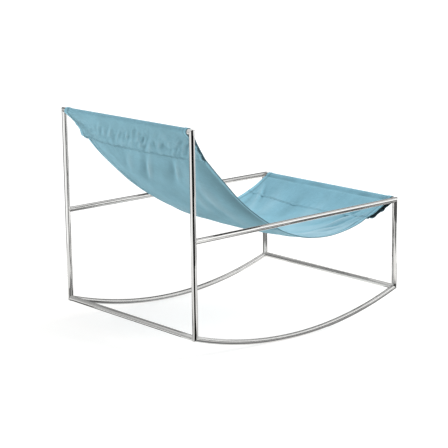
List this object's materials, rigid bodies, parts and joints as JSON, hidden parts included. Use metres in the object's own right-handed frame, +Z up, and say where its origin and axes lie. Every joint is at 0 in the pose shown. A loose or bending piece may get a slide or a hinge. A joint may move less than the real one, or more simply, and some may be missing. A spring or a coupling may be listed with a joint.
{
  "type": "outdoor rocking chair",
  "caption": "Low outdoor rocking chair: welded round steel tube frame on curved rockers, with level arm rails and a blue canvas sling seat hung between its upper cross bars.",
  "frame": {"origin": "on the floor, under the centre of the overall box", "axes": "+Z up, the chair faces -Y, +X to the sitter's left; the frame leans back two degrees, where it balances on its rockers"},
  "size_m": [0.676, 0.9397, 0.7241],
  "materials": {
    "frame_steel": "polished stainless steel tube",
    "sling_canvas": "light blue woven outdoor canvas"
  },
  "bodies": {
    "root": {"rear_upright_left": "frame_steel", "rear_upright_right": "frame_steel", "front_post_left": "frame_steel", "front_post_right": "frame_steel", "rocker_left": "frame_steel", "rocker_right": "frame_steel", "arm_rail_left": "frame_steel", "arm_rail_right": "frame_steel", "rear_bottom_bar": "frame_steel", "front_bottom_bar": "frame_steel", "rear_sling_bar": "frame_steel", "front_sling_bar": "frame_steel", "sling_panel": "sling_canvas", "sling_rear_sleeve": "sling_canvas", "sling_front_sleeve": "sling_canvas", "sling_hem_left": "sling_canvas", "sling_hem_right": "sling_canvas"}
  },
  "joints": []
}
